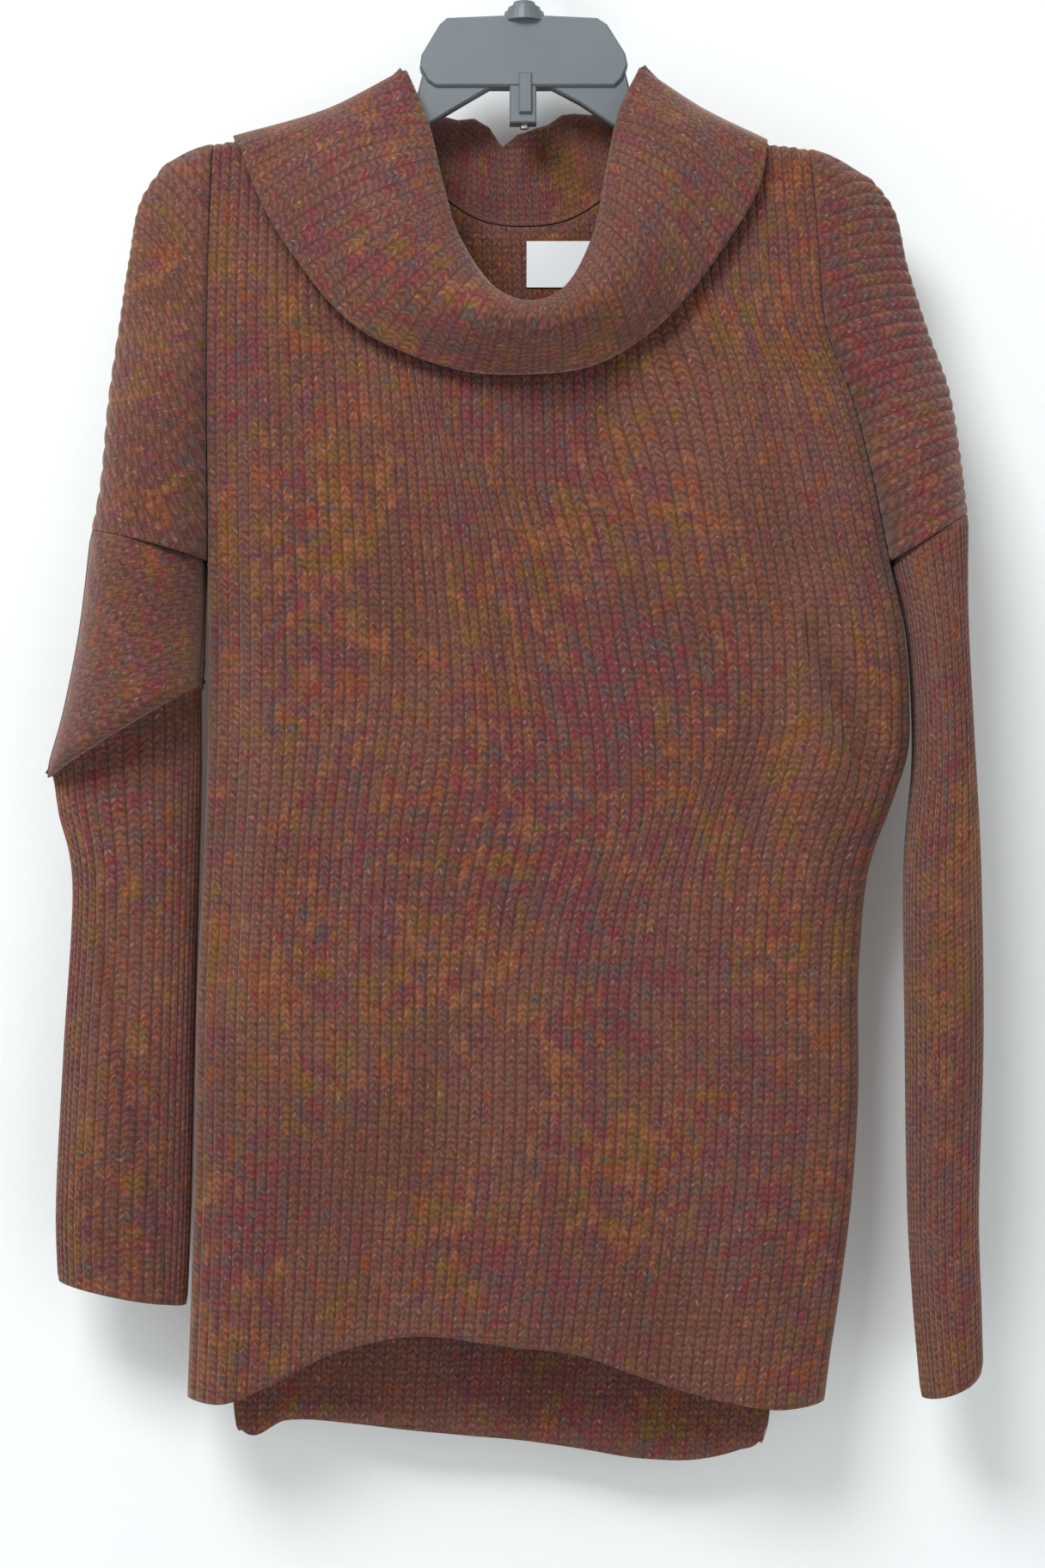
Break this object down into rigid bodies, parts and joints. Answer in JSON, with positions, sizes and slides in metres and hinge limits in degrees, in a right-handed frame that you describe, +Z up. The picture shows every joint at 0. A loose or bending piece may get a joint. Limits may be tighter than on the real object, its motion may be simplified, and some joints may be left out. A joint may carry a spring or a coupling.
{
  "type": "sweater on a hanger",
  "caption": "Slouchy rib-knit sweater with a folded funnel collar, drop shoulders and long sleeves, hanging flat on a moulded hanger with a swivelling wire hook.",
  "frame": {"origin": "top of the inside of the hook's crook, where a rail carries it, in the middle of the wire", "axes": "+Z up, +X towards the wearer's left, the front of the sweater faces -Y"},
  "size_m": [0.5619, 0.1404, 0.9587],
  "materials": {
    "rib_knit": "brushed marl knit",
    "label_tape": "smooth woven",
    "grey_plastic": "satin",
    "bright_steel": "bright"
  },
  "bodies": {
    "sweater_and_hanger": {"front_panel": "rib_knit", "back_panel": "rib_knit", "left_sleeve": "rib_knit", "right_sleeve": "rib_knit", "collar": "rib_knit", "neck_label": "label_tape", "hanger": "grey_plastic"},
    "hook": {"hanger_hook": "bright_steel"}
  },
  "joints": [
    {"name": "hook_swivel", "type": "hinge", "parent": "sweater_and_hanger", "child": "hook", "pos_m": [0, 0, 0], "axis": [0, 0, 1], "continuous": true}
  ]
}
